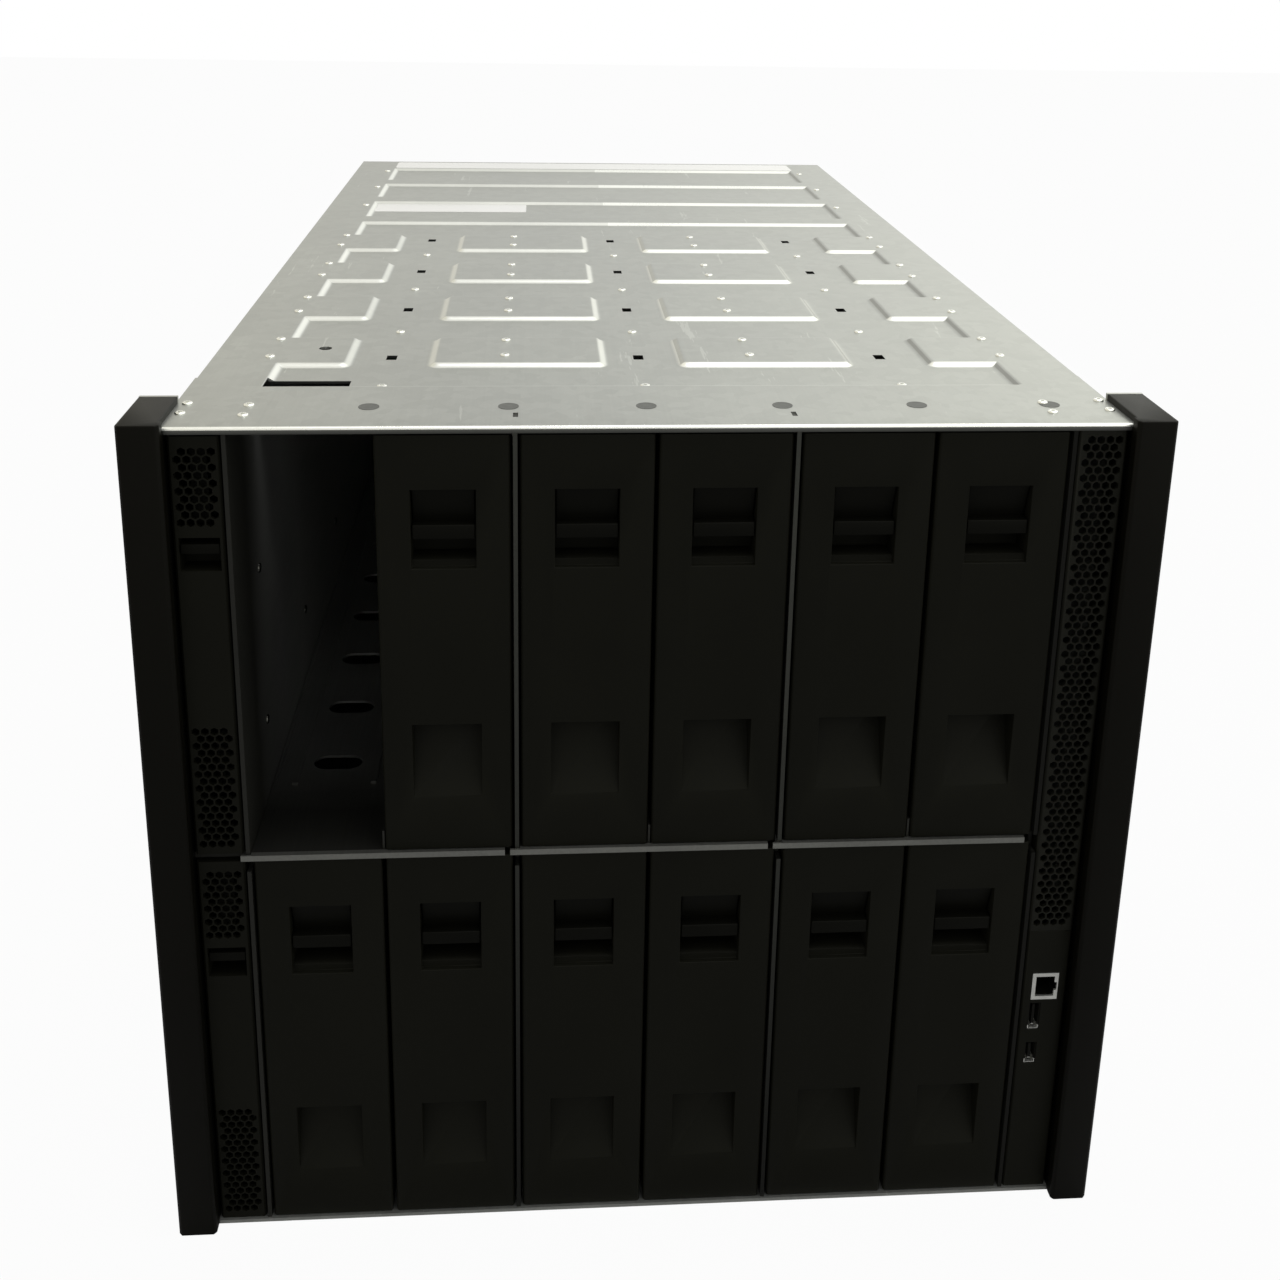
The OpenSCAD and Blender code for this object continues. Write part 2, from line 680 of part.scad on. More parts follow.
// Board across the middle of the case, with connectors towards both ends
module midplane_board() {
    color(board_green) from_front() {
        difference() {
            block([-wall_x, wall_x], [bay_depth, rear_y], [floor_t, roof_z]);
            for (c = [1 : 6], z = [floor_t + 8, shelf_z - win_h - 8, upper_z + 8, roof_z - win_h - 8])
                block([bay_x(c) + (blank_w - win_w) / 2, bay_x(c) + (blank_w + win_w) / 2],
                      [bay_depth - 1, rear_y + 1], [z, z + win_h]);
        }
        for (c = [1 : 6], z = [floor_t + bay_h / 2, upper_z + bay_h / 2])
            block([bay_x(c) + (blank_w - front_conn[0]) / 2, bay_x(c) + (blank_w + front_conn[0]) / 2],
                  [bay_depth - front_conn[1], bay_depth], [z - front_conn[2] / 2, z + front_conn[2] / 2]);
        for (k = [2, 3, 4, 6, 7, 8], s = [-1, 1])
            block([s * rear_conn_x - rear_conn_w / 2, s * rear_conn_x + rear_conn_w / 2],
                  [rear_y, rear_y + conn_d], [row_mid(k) - rear_conn_h / 2, row_mid(k) + rear_conn_h / 2]);
        for (i = [0 : psu_count - 1])
            translate([psu_x(i), 0, row_mid(0)])
                block([-psu_conn_w / 2, psu_conn_w / 2], [rear_y, rear_y + conn_d],
                      [-rear_conn_h / 2, rear_conn_h / 2]);
    }
}

cage_slot_pitch = 60;
cage_slots = floor(2 * wall_x / cage_slot_pitch) - 1;
cage_slot_l = 36;
cage_slot_r = 8;

// Sheets that carry the rear modules, row by row
module rear_cage() {
    color(steel) from_front() for (k = [1 : 9])
        difference() {
            block([-wall_x, wall_x], [rear_y, frame_d], [row_z(k) - rear_sheet_t, row_z(k)]);
            for (i = [0 : cage_slots - 1])
                translate([(i - (cage_slots - 1) / 2) * cage_slot_pitch, (rear_y + frame_d - fan_d) / 2,
                           row_z(k) - rear_sheet_t - 1])
                    rounded_slot(cage_slot_l, cage_slot_r, rear_sheet_t + 2);
        }
}

// A finger tab that stands out at the lower edge of a module
module pull_tab(z) {
    block([-tab_w / 2, tab_w / 2], [-0.5, handle_d / 2], [z, z + tab_t]);
    block([-tab_w / 2, tab_w / 2], [handle_d / 2 - tab_t, handle_d / 2], [z, z + 2 * tab_t]);
}

// A flat bow handle on the rear face of a module
module pull_handle(w, bar, h) {
    difference() {
        block([-w / 2, w / 2], [-0.5, handle_d], [-h / 2, h / 2]);
        block([-w / 2 + bar, w / 2 - bar], [-1, handle_d - bar], [-h, h]);
    }
}

guard_rings = [0.42, 0.62, 0.82];
guard_bar = 1.8;
guard_t = 2.4;
guard_cap_r = 8;
spider_t = 5;
spider_arm_w = 4;
hub_r = 17;
fan_w = fan_pitch - module_gap;
tab_w = 30;
tab_t = 3;
rotor_gap = 1.5;
rotor_l = 34;
motor_l = fan_d - spider_t - rotor_l - guard_t - 2 * rotor_gap;
shaft_l = rotor_l - 2.5;
shaft_y = -fan_d + spider_t + motor_l;
blade_count = 7;
blade_t = 2;
blade_chord = 33;
blade_pitch_deg = 40;
blade_root = 4;
tip_gap = 1;

function fan_x(i) = -wall_x + ((i - 1) % fan_count + 0.5) * fan_pitch;
function fan_z(i) = row_mid(fan_rows[floor((i - 1) / fan_count)]);

module at_fan(i) {
    from_front() translate([fan_x(i), frame_d, fan_z(i)]) children();
}

// Ring of the given mean radius in the X-Z plane
module guard_ring(r) {
    difference() {
        circle(r + guard_bar / 2);
        circle(r - guard_bar / 2);
    }
}

module fan_housing() {
    box_h = fan_h - module_gap;
    difference() {
        block([-fan_w / 2, fan_w / 2], [-fan_d, 0], [-box_h / 2, box_h / 2]);
        translate([0, 1, 0]) rotate([90, 0, 0]) cylinder(r = fan_bore_r, h = fan_d + 2);
    }
    // Finger guard
    along_y([-guard_t, 0]) {
        for (f = guard_rings) guard_ring(f * fan_bore_r);
        circle(r = guard_cap_r);
        for (a = [45, 135]) rotate(a) square([2 * fan_bore_r + 1, guard_bar], center = true);
    }
    // Spider with the motor, and the shaft that the motor holds
    along_y([-fan_d, -fan_d + spider_t])
        for (a = [0, 120, 240])
            rotate(a) translate([0, -spider_arm_w / 2]) square([fan_bore_r + 0.5, spider_arm_w]);
    translate([0, shaft_y, 0]) rotate([90, 0, 0]) cylinder(r = hub_r, h = motor_l + spider_t);
    translate([0, shaft_y + shaft_l, 0]) rotate([90, 0, 0]) cylinder(r = shaft_r, h = shaft_l + 1);
    pull_tab(-box_h / 2);
}

module fan_housings() {
    color(charcoal) for (i = [1 : 2 * fan_count]) at_fan(i) fan_housing();
}

// Hub with inclined blades whose tips follow the bore
module fan_rotor(i) {
    y0 = shaft_y + rotor_gap;
    color(black_plastic) at_fan(i) difference() {
        union() {
            along_y([y0, y0 + rotor_l]) circle(r = hub_r);
            intersection() {
                along_y([y0, y0 + rotor_l]) circle(r = fan_bore_r - tip_gap);
                for (b = [0 : blade_count - 1])
                    rotate([0, b * 360 / blade_count, 0]) translate([0, y0 + rotor_l / 2, hub_r - blade_root])
                        rotate([0, 0, blade_pitch_deg])
                            block([-blade_t / 2, blade_t / 2], [-blade_chord / 2, blade_chord / 2],
                                  [0, fan_bore_r]);
            }
        }
        translate([0, shaft_y + shaft_l + rotor_gap, 0]) rotate([90, 0, 0])
            cylinder(r = shaft_r + shaft_gap, h = shaft_l + 1);
    }
}

psu_w = psu_pitch - module_gap;
inlet_w = 28;
inlet_h = 21;
inlet_depth = 20;
inlet_inset = 5;
inlet_x = psu_w / 2 - inlet_inset - inlet_w / 2;
vent_d = 6.4;
vent_pitch = 7.2;
vent_depth = 3;

module power_supply() {
    h = psu_h - module_gap;
    depth = frame_d - psu_front;
    difference() {
        block([-psu_w / 2, psu_w / 2], [-depth, 0], [-h / 2, h / 2]);
        // Mains inlet
        block([inlet_x - inlet_w / 2, inlet_x + inlet_w / 2], [-inlet_depth, 1], [-inlet_h / 2, inlet_h / 2]);
        translate([-psu_w / 2, 0, -h / 2]) along_y([-vent_depth, 1])
            cell_field(psu_w - inlet_w - 2 * inlet_inset, h, vent_d, vent_pitch);
    }
    translate([-psu_w / 2 + 6, 0, 0]) rotate([0, 90, 0]) pull_handle(h - 8, 5, 6);
}

module power_supplies() {
    color(steel) from_front() for (i = [0 : psu_count - 1])
        translate([psu_x(i), frame_d, row_z(0) + seat_gap + (psu_h - module_gap) / 2]) power_supply();
}

rear_blank_d = 40;

rear_blank_t = 1.5;
rear_slots = 10;
rear_slot_r = 3;
rear_slot_gap = 6;
tab_inset = 24;

// Vented filler panel of one rear bay, open towards the front
module rear_blank(w, h) {
    pitch = (w - 2 * (tab_inset + tab_w / 2)) / rear_slots;
    difference() {
        block([-w / 2, w / 2], [-rear_blank_d, 0], [0, h]);
        block([-w / 2 + rear_blank_t, w / 2 - rear_blank_t], [-rear_blank_d - 1, -rear_blank_t],
              [rear_blank_t, h - rear_blank_t]);
        for (i = [0 : rear_slots - 1])
            translate([(i - (rear_slots - 1) / 2) * pitch, 1, h / 2]) rotate([90, 0, 0])
                rounded_slot(pitch - rear_slot_gap, rear_slot_r, rear_blank_t + 2);
    }
    for (s = [-1, 1]) translate([s * (w / 2 - tab_inset), 0, 0]) pull_tab(rear_slot_r);
}

module rear_bay_blanks() {
    color(charcoal) from_front() {
        for (k = [2, 3, 4, 6, 7, 8])
            translate([0, frame_d, row_z(k) + seat_gap])
                rear_blank(2 * wall_x - module_gap, link_bay_h - module_gap);
        for (s = [-1, 1])
            translate([s * wall_x / 2, frame_d, row_z(5) + seat_gap])
                rear_blank(wall_x - module_gap, link_row_h - module_gap);
    }
}

rivet_d = 5;
rivet_h = 0.9;
edge_rivets = [21, 36];
edge_rivet_inset = 4.5;
field_rivets = [18, 33];
pad_rivets = [11, pad_d - 3];
pad_rivet_inset = 4.5;
band_rivet_back = 20;
crown_rivets = [13, pad_d - 5];
crown_rivet_shift = 7;
wall_rivets = [for (y = [60, 190, 330]) [y, 40], [60, 125], [190, 170], [330, 170]];

module rivet() {
    cylinder(d1 = rivet_d, d2 = rivet_d * 0.6, h = rivet_h);
}

// Rivet heads on the cover and on the wall of the open bay
module cover_rivets() {
    color(bright_steel) from_front() {
        for (s = [-1, 1]) {
            for (y = edge_rivets) translate([s * (body_half - edge_rivet_inset), y, frame_h]) rivet();
            for (y = field_rivets) translate([s * field_half, y, frame_h]) rivet();
            for (i = [0 : pad_rows - 1], y = pad_rivets)
                translate([s * (field_half + pad_rivet_inset), pad_y + i * pad_pitch + y, frame_h]) rivet();
            for (band = rear_bands)
                translate([s * (field_half + pad_rivet_inset), band[1] - band_rivet_back, frame_h]) rivet();
        }
        for (x = [partition_x[1], partition_x[2]], i = [0 : pad_rows - 1], y = crown_rivets)
            translate([x - crown_rivet_shift, pad_y + i * pad_pitch + y, frame_h]) rivet();
        for (i = [-2, 0, 2], j = [0 : locator_rows - 1])
            translate([i * bay_pitch - locator_shift, locator_y + (j - 0.5) * locator_pitch, roof_z + cover_t])
                rivet();
        for (p = wall_rivets)
            translate([partition_x[0] + partition_t / 2, p[0], upper_z + p[1]]) rotate([0, 90, 0]) rivet();
    }
}

base_pan();
side_wall(-1);  // side_wall_left
side_wall(1);  // side_wall_right
top_cover();
front_top_rail();
bay_wall_left();
partition(partition_x[1], [-1, 1], true);  // divider_left
partition(partition_x[2], [-1, 1], true);  // divider_right
partition(partition_x[3], [-1], false);  // bay_wall_right
rack_flanges();
ear_cover(-1);  // ear_cover_left
ear_cover(1);  // ear_cover_right
side_grille();
front_panel();
panel_jacks();
midplane_board();
rear_cage();
cover_rivets();
fan_housings();
power_supplies();
rear_bay_blanks();
bay_shelf(0);  // bay_shelf_left
bay_shelf(1);  // bay_shelf_centre
bay_shelf(2);  // bay_shelf_right
column_blank(1);  // column_blank_upper
column_blank(0);  // column_blank_lower
column_latch(1);  // column_latch_upper
column_latch(0);  // column_latch_lower
bay_blank([2, 1]);  // bay_blank_upper_2
bay_blank([3, 1]);  // bay_blank_upper_3
bay_blank([4, 1]);  // bay_blank_upper_4
bay_blank([5, 1]);  // bay_blank_upper_5
bay_blank([6, 1]);  // bay_blank_upper_6
bay_blank([1, 0]);  // bay_blank_lower_1
bay_blank([2, 0]);  // bay_blank_lower_2
bay_blank([3, 0]);  // bay_blank_lower_3
bay_blank([4, 0]);  // bay_blank_lower_4
bay_blank([5, 0]);  // bay_blank_lower_5
bay_blank([6, 0]);  // bay_blank_lower_6
blank_latch([2, 1]);  // blank_latch_upper_2
blank_latch([3, 1]);  // blank_latch_upper_3
blank_latch([4, 1]);  // blank_latch_upper_4
blank_latch([5, 1]);  // blank_latch_upper_5
blank_latch([6, 1]);  // blank_latch_upper_6
blank_latch([1, 0]);  // blank_latch_lower_1
blank_latch([2, 0]);  // blank_latch_lower_2
blank_latch([3, 0]);  // blank_latch_lower_3
blank_latch([4, 0]);  // blank_latch_lower_4
blank_latch([5, 0]);  // blank_latch_lower_5
blank_latch([6, 0]);  // blank_latch_lower_6
fan_rotor(1);  // fan_rotor_1
fan_rotor(2);  // fan_rotor_2
fan_rotor(3);  // fan_rotor_3
fan_rotor(4);  // fan_rotor_4
fan_rotor(5);  // fan_rotor_5
fan_rotor(6);  // fan_rotor_6
fan_rotor(7);  // fan_rotor_7
fan_rotor(8);  // fan_rotor_8
fan_rotor(9);  // fan_rotor_9
fan_rotor(10);  // fan_rotor_10
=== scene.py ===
import json
import math
import bmesh
import bpy
from mathutils import Matrix, Vector

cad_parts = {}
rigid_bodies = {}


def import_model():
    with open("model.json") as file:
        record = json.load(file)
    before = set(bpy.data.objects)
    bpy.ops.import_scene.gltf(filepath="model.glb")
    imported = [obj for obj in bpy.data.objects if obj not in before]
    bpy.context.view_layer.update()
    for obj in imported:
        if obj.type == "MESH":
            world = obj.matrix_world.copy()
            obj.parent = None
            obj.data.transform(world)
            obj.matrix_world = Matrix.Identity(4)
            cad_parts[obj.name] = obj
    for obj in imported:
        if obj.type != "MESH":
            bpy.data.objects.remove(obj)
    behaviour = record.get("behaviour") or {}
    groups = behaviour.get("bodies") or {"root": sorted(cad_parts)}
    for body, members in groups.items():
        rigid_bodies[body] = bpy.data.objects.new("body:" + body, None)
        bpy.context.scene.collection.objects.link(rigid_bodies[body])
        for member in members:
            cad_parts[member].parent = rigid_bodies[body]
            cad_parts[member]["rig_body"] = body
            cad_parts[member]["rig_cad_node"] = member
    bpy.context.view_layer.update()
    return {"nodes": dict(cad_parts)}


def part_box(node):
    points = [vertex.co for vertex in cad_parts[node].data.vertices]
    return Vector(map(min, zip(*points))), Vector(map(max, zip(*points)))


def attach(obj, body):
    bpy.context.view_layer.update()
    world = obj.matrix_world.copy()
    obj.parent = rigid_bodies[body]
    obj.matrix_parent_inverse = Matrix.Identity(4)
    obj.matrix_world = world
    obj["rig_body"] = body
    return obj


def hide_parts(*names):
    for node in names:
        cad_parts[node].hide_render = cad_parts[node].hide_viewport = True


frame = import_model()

nodes = frame["nodes"]


# Camera. A standard lens in front of the chassis and a little above its top edge, tilted down.
# The lens is shifted, because the chassis stands low in the frame.
camera_place = (-0.05552, -1.04931, 0.65425)
camera_tilt = (74.4693, -1.0349, -3.8745)
bpy.ops.object.camera_add(location=camera_place, rotation=tuple(math.radians(a) for a in camera_tilt))
lens = bpy.context.object
lens.data.sensor_width = 36.0
lens.data.lens = 41.478
lens.data.shift_y = -0.2275
bpy.context.scene.camera = lens


# Floor and light. A pale floor, a white room and one large soft lamp overhead, a little to the front,
# which picks out the steps that are pressed into the cover.
class Wire:
    """One output in a node tree. Arithmetic on wires adds Math nodes."""

    def __init__(self, tree, out):
        self.tree, self.out = tree, out

    def node(self, kind, settings, sockets, outlet=0):
        made = self.tree.nodes.new(kind)
        stops = settings.pop("stops", None)
        for key, value in settings.items():
            setattr(made, key, value)
        if stops:
            elements = made.color_ramp.elements
            elements[0].position, elements[0].color = stops[0]
            elements[1].position, elements[1].color = stops[-1]
            for place, colour in stops[1:-1]:
                elements.new(place).color = colour
        for key, value in sockets.items():
            if isinstance(value, Wire):
                self.tree.links.new(value.out, made.inputs[key])
            else:
                made.inputs[key].default_value = value
        return Wire(self.tree, made.outputs[outlet])

    def math(self, operation, first, second=0.0):
        return self.node("ShaderNodeMath", {"operation": operation}, {0: first, 1: second})

    def __add__(self, other): return self.math("ADD", self, other)
    def __sub__(self, other): return self.math("SUBTRACT", self, other)
    def __mul__(self, other): return self.math("MULTIPLY", self, other)
    def __gt__(self, other): return self.math("GREATER_THAN", self, other)
    def __lt__(self, other): return self.math("LESS_THAN", self, other)
    def __radd__(self, other): return self.math("ADD", other, self)
    def __rsub__(self, other): return self.math("SUBTRACT", other, self)
    def __rmul__(self, other): return self.math("MULTIPLY", other, self)

    def peak(self, other):
        return self.math("MAXIMUM", self, other)

    def along(self, axis):
        return self.node("ShaderNodeSeparateXYZ", {}, {"Vector": self}, axis)

    def spread(self, start, end, first=0.0, last=1.0):
        """Runs from first to last while this wire runs from start to end, and stays there outside."""
        return self.node("ShaderNodeMapRange", {}, {"Value": self, "From Min": start, "From Max": end,
                                                    "To Min": first, "To Max": last})

    def mix(self, low, high):
        return self.node("ShaderNodeMix", {"data_type": "RGBA"}, {0: self, 6: low, 7: high}, 2)

    def tint(self, low, high):
        return self.mix(low + (1.0,), high + (1.0,))

    def stretched(self, scale):
        return self.node("ShaderNodeMapping", {}, {"Vector": self, "Scale": scale})

    def cloud(self, scale, detail=2.0, rough=0.5):
        return self.node("ShaderNodeTexNoise", {}, {"Vector": self, "Scale": scale, "Detail": detail,
                                                    "Roughness": rough})

    def bump(self, depth, strength):
        return self.node("ShaderNodeBump", {}, {"Height": self, "Distance": depth, "Strength": strength})


def new_finish(name):
    finish = bpy.data.materials.new(name)
    finish.use_nodes = True
    tree = finish.node_tree
    return finish, Wire(tree, tree.nodes.new("ShaderNodeTexCoord").outputs["Object"])


def coat(finish, **sockets):
    shader = finish.node_tree.nodes["Principled BSDF"]
    for key, value in sockets.items():
        socket = shader.inputs[key.replace("_", " ")]
        if isinstance(value, Wire):
            finish.node_tree.links.new(value.out, socket)
        else:
            socket.default_value = value


floor_size = 14.0
floor_gap = 0.0005
seen_share = 0.96
bpy.ops.mesh.primitive_plane_add(size=floor_size, location=(0, 0, -floor_gap))
floor = bpy.context.object
floor.name = "pale_floor"
paper, place = new_finish("floor_paper")
coat(paper, Base_Color=(0.5, 0.5, 0.5, 1), Roughness=0.9)
leaves = paper.node_tree
lit_paper = Wire(leaves, leaves.nodes["Principled BSDF"].outputs[0])
glow = place.node("ShaderNodeEmission", {}, {})
seen = place.node("ShaderNodeLightPath", {}, {}, "Is Camera Ray")
surface = place.node("ShaderNodeMixShader", {}, {0: seen * seen_share, 1: lit_paper, 2: glow})
leaves.links.new(surface.out, leaves.nodes["Material Output"].inputs["Surface"])
floor.data.materials.append(paper)

room_level = 0.5
wall_gain = 1.65
wall_tones = ((0.0, (0.58, 0.555, 0.475, 1)), (0.5, (0.55, 0.55, 0.53, 1)),
              (0.68, (0.69, 0.69, 0.655, 1)), (0.9, (0.93, 0.93, 0.86, 1)))
room = bpy.data.worlds.new("white_room")
bpy.context.scene.world = room
room.use_nodes = True
air = room.node_tree
rays = air.nodes.new("ShaderNodeLightPath")
direct, glossy, clear = (Wire(air, rays.outputs["Is %s Ray" % kind])
                         for kind in ("Camera", "Glossy", "Transmission"))
heading = Wire(air, air.nodes.new("ShaderNodeTexCoord").outputs["Generated"])
wall_tone = heading.node("ShaderNodeValToRGB", {"stops": wall_tones}, {0: heading.along(0).spread(-0.4, 0.4)})
wall_tone = wall_tone.node("ShaderNodeVectorMath", {"operation": "SCALE"}, {0: wall_tone, "Scale": wall_gain})
for socket, wire in (("Color", glossy.mix((1, 1, 1, 1), wall_tone)),
                     ("Strength", direct.peak(glossy).peak(clear).spread(0.0, 1.0, room_level, 1.0))):
    air.links.new(wire.out, air.nodes["Background"].inputs[socket])

lamp_place = Vector((0.3, -0.45, 2.3))
lamp_target = Vector((0, -0.1, 0.4))
bpy.ops.object.light_add(type="AREA", location=lamp_place)
softbox = bpy.context.object
softbox.data.size = 0.9
softbox.data.energy = 17.0
softbox.rotation_euler = (lamp_target - lamp_place).to_track_quat("-Z", "Y").to_euler()


# Top cover. One sheet of galvanised steel with pads, cross bands and margins left high, and the
# rest pressed down by two millimetres. The press leaves rounded steps; their highlights, and the shade
# on the lip below the front bend, are painted into the sheet's colour.
def press_light_and_shade(place, handling, colour, steps):
    """Painted light and shade on a pressed sheet: a painted highlight on the slopes of its steps, most
    where they face the front, and on the bend at its front edge; painted shade on the sideways slopes
    of the east half, on the lip below the bend and on the underside. The steps are the heights of the
    top, the bend and the underside, and the depth of the front."""
    top, bend, under, front = steps
    east, depth, height = (place.along(axis) for axis in range(3))
    facing = Wire(place.tree, place.tree.nodes["Texture Coordinate"].outputs["Normal"])
    lean_east, lean_back, up = (facing.along(axis) for axis in range(3))
    pressed = (height > under) * (height < top - 0.00002) * (up > 0.3)
    # Painted highlight: slopes facing the front, a third less on the west half; sideways slopes, more the
    # further west; the step at the front of the sunk field; the front bend.
    toward = (0.0 - lean_back).spread(0.05, 0.3) * (1.0 - (east < 0.0) * 0.34)
    aside = lean_east.math("ABSOLUTE", lean_east).spread(0.08, 0.5)
    west_highlight_share = (east < -0.17) * 0.3 + (east < 0.02) * 0.34 + 0.08
    away = (lean_back > 0.1) * (depth < front + 0.07) * 0.4
    rim = (depth < front + 0.0014) * (height > bend)
    slopes = toward.peak(aside * west_highlight_share).peak(away) * pressed
    step_highlight = (slopes * (0.75 + handling * 0.5)).peak(rim)
    # Painted shade on the sideways slopes of the east half.
    east_side_shade = (aside > 0.92) * (east > 0.05) * pressed * 0.6
    # Painted shade on the lip below the front bend, lighter towards the bend, and on the underside.
    lip = (depth < front + 0.0005) * (height < bend)
    low_shade = ((height < under) * (depth > front + 0.003)).peak(lip)
    lip_shade = (height.spread(bend - 0.0026, bend) * lip).tint((0.035, 0.036, 0.034), (0.13, 0.132, 0.122))
    colour = east_side_shade.mix(colour, (0.14, 0.143, 0.132, 1.0))
    colour = step_highlight.mix(colour, (0.9, 0.91, 0.87, 1.0))
    return low_shade.mix(colour, lip_shade), step_highlight


def zinc_sheet(name, low, high, rough, steps=None):
    """Galvanised sheet: faint spangle, rolling grain along the case, cloudy handling marks and thin
    scratches. A pressed sheet, whose steps are given, also gets painted highlights and painted shade on its
    steps."""
    finish, place = new_finish(name)
    handling = place.cloud(7.0, 4.0, 0.6)
    rolling = place.stretched((700.0, 9.0, 700.0)).cloud(1.0, 3.0, 0.6)
    spangle = place.node("ShaderNodeTexVoronoi", {}, {"Vector": place, "Scale": 150.0}, "Color")
    spangle = spangle.node("ShaderNodeSeparateColor", {}, {"Color": spangle})
    fine = place.cloud(900.0, 2.0)
    shade = handling * 0.5 + rolling * 0.28 + spangle * 0.12 + fine * 0.1
    scratch = place.stretched((60.0, 4.0, 60.0)).cloud(1.4, 5.0, 0.7)
    scratch = (scratch > 0.655) * 0.35
    colour, step_highlight = (shade + scratch).tint(low, high), 0.0
    if steps:
        colour, step_highlight = press_light_and_shade(place, handling, colour, steps)
    coat(finish, Base_Color=colour, Metallic=0.82,
         Roughness=rough + handling * 0.16 + rolling * 0.1 - step_highlight * 0.08 - 0.1,
         Normal=(rolling * 0.6 + fine * 0.4).bump(0.00012, 0.35))
    return finish


def take(piece):
    """Makes a piece the active one and the only one selected."""
    bpy.ops.object.select_all(action="DESELECT")
    piece.select_set(True)
    bpy.context.view_layer.objects.active = piece


def pick(piece, kind, wanted):
    """Selects, in edit mode, the piece's faces or edges that are wanted."""
    bpy.ops.mesh.select_mode(type=kind)
    bpy.ops.mesh.select_all(action="DESELECT")
    form = bmesh.from_edit_mesh(piece.data)
    for part in form.faces if kind == "FACE" else form.edges:
        part.select_set(bool(wanted(part)))
    bmesh.update_edit_mesh(piece.data)


def smooth(piece, angle=32.0):
    take(piece)
    bpy.ops.object.shade_smooth_by_angle(angle=math.radians(angle))


def dress(piece, finish):
    piece.data.materials.clear()
    piece.data.materials.append(finish)


def thicken(piece, gauge):
    """Gives a sheet its thickness below the face that is modelled."""
    sheet = piece.modifiers.new("gauge", "SOLIDIFY")
    sheet.thickness = gauge
    sheet.offset = -1.0
    bpy.ops.object.modifier_apply(modifier="gauge")


# The pressing's sizes, and its sunk areas and pads as west, east, near and far.
cover_low, cover_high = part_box("top_cover")
half_width, cover_front, cover_back, cover_top = cover_high[0], cover_low[1], cover_high[1], cover_high[2]
touch = 0.00001
bay_pitch = 0.0653
sheet_gauge = 0.0013
press_depth = 0.002
press_run = 0.0046
press_corner = 0.0012
bend_width = 0.0012
side_margin, rear_margin, cross_band = 0.0335, 0.042, 0.021
field_half = half_width - side_margin
field_near, field_far = cover_front + 0.0625, cover_front + 0.499
band_pitch = (cover_back - rear_margin - field_far) / 3
sunk = [(-field_half, field_half, field_near, field_far)]
for i in range(3):
    sunk.append((-field_half, field_half,
                 field_far + i * band_pitch + cross_band, field_far + (i + 1) * band_pitch))
pad_half, edge_pad, pad_length, pad_step = 0.0425, 0.0345, 0.0485, 0.097
pads = []
for row in range(4):
    pad_front = cover_front + 0.1055 + row * pad_step
    for west, east in ((-half_width, edge_pad - field_half), (-bay_pitch - pad_half, pad_half - bay_pitch),
                       (bay_pitch - pad_half, bay_pitch + pad_half), (field_half - edge_pad, half_width)):
        pads.append((west, east, pad_front, pad_front + pad_length))

# Its openings: locating holes, tab slots, an access slot, and a square that is rounded to a peep hole.
hole_half_w, hole_half_l, hole_step, hole_shift = 0.0027, 0.0042, 0.1045, 0.0013
holes = [(x - hole_half_w, x + hole_half_w, y - hole_half_l, y + hole_half_l)
         for x in (-2 * bay_pitch - hole_shift, -hole_shift, 2 * bay_pitch - hole_shift)
         for y in (cover_front + 0.121 + row * hole_step for row in range(4))]
tab_half = 0.0012
holes += [(x - tab_half, x + tab_half, cover_front + 0.0138, cover_front + 0.0202)
          for x in (-bay_pitch, bay_pitch)]
holes.append((0.0008 - field_half, 0.042 - field_half, cover_front + 0.063, cover_front + 0.0785))
peep_x, peep_y = 0.022 - field_half, cover_front + 0.1325
peep_r, peep_half, peep_inner = 0.0035, 0.003, 0.001
ring_from, ring_to = 0.0029, 0.0044
holes.append((peep_x - peep_half, peep_x + peep_half, peep_y - peep_half, peep_y + peep_half))


def reach(x, y, area):
    """Distance from a point to the outline of a round-cornered area, positive outside it."""
    west, east, near, far = area
    dx = max(west + press_corner - x, x - east + press_corner)
    dy = max(near + press_corner - y, y - far + press_corner)
    return min(max(dx, dy), 0.0) + math.hypot(max(dx, 0.0), max(dy, 0.0)) - press_corner


def grid_lines(edges, cuts, low, high):
    """Lines close together over each pressed step, and one on each edge of a hole."""
    millimetres = (-4.0, -2.4, -1.0, 0.0, 0.4, 0.8, 1.2, 1.6, 2.0, 2.6, 3.4, 4.2, 5.4)
    least_gap = 0.00025
    lines = {low, high}
    for edge, way in edges:
        lines.update(edge + way * offset * 0.001 for offset in millimetres)
    lines.update(cuts)
    kept = []
    for line in sorted(l for l in lines if low <= l <= high):
        if not kept or line - kept[-1] > least_gap or line in cuts:
            crowded = kept and line in cuts and line - kept[-1] < least_gap
            if crowded and kept[-1] not in cuts and kept[-1] != low:
                kept.pop()
            kept.append(line)
    return kept


def in_hole(face):
    middle = face.calc_center_median()
    return any(west < middle.x < east and near < middle.y < far for west, east, near, far in holes)


steps_x = [(sunk[0][0], 1), (sunk[0][1], -1)]
steps_x += [(p[1], 1) for p in pads[:3]] + [(p[0], -1) for p in pads[1:4]]
steps_y = [(a[2], 1) for a in sunk] + [(a[3], -1) for a in sunk]
steps_y += [(p[2], -1) for p in pads[::4]] + [(p[3], 1) for p in pads[::4]]
cuts_x = [h[i] for h in holes for i in (0, 1)] + [peep_x - peep_inner, peep_x + peep_inner]
cuts_y = [h[i] for h in holes for i in (2, 3)] + [peep_y - peep_inner, peep_y + peep_inner]
columns = grid_lines(steps_x, cuts_x, -half_width, half_width)
rows = grid_lines(steps_y, cuts_y, cover_front, cover_back)

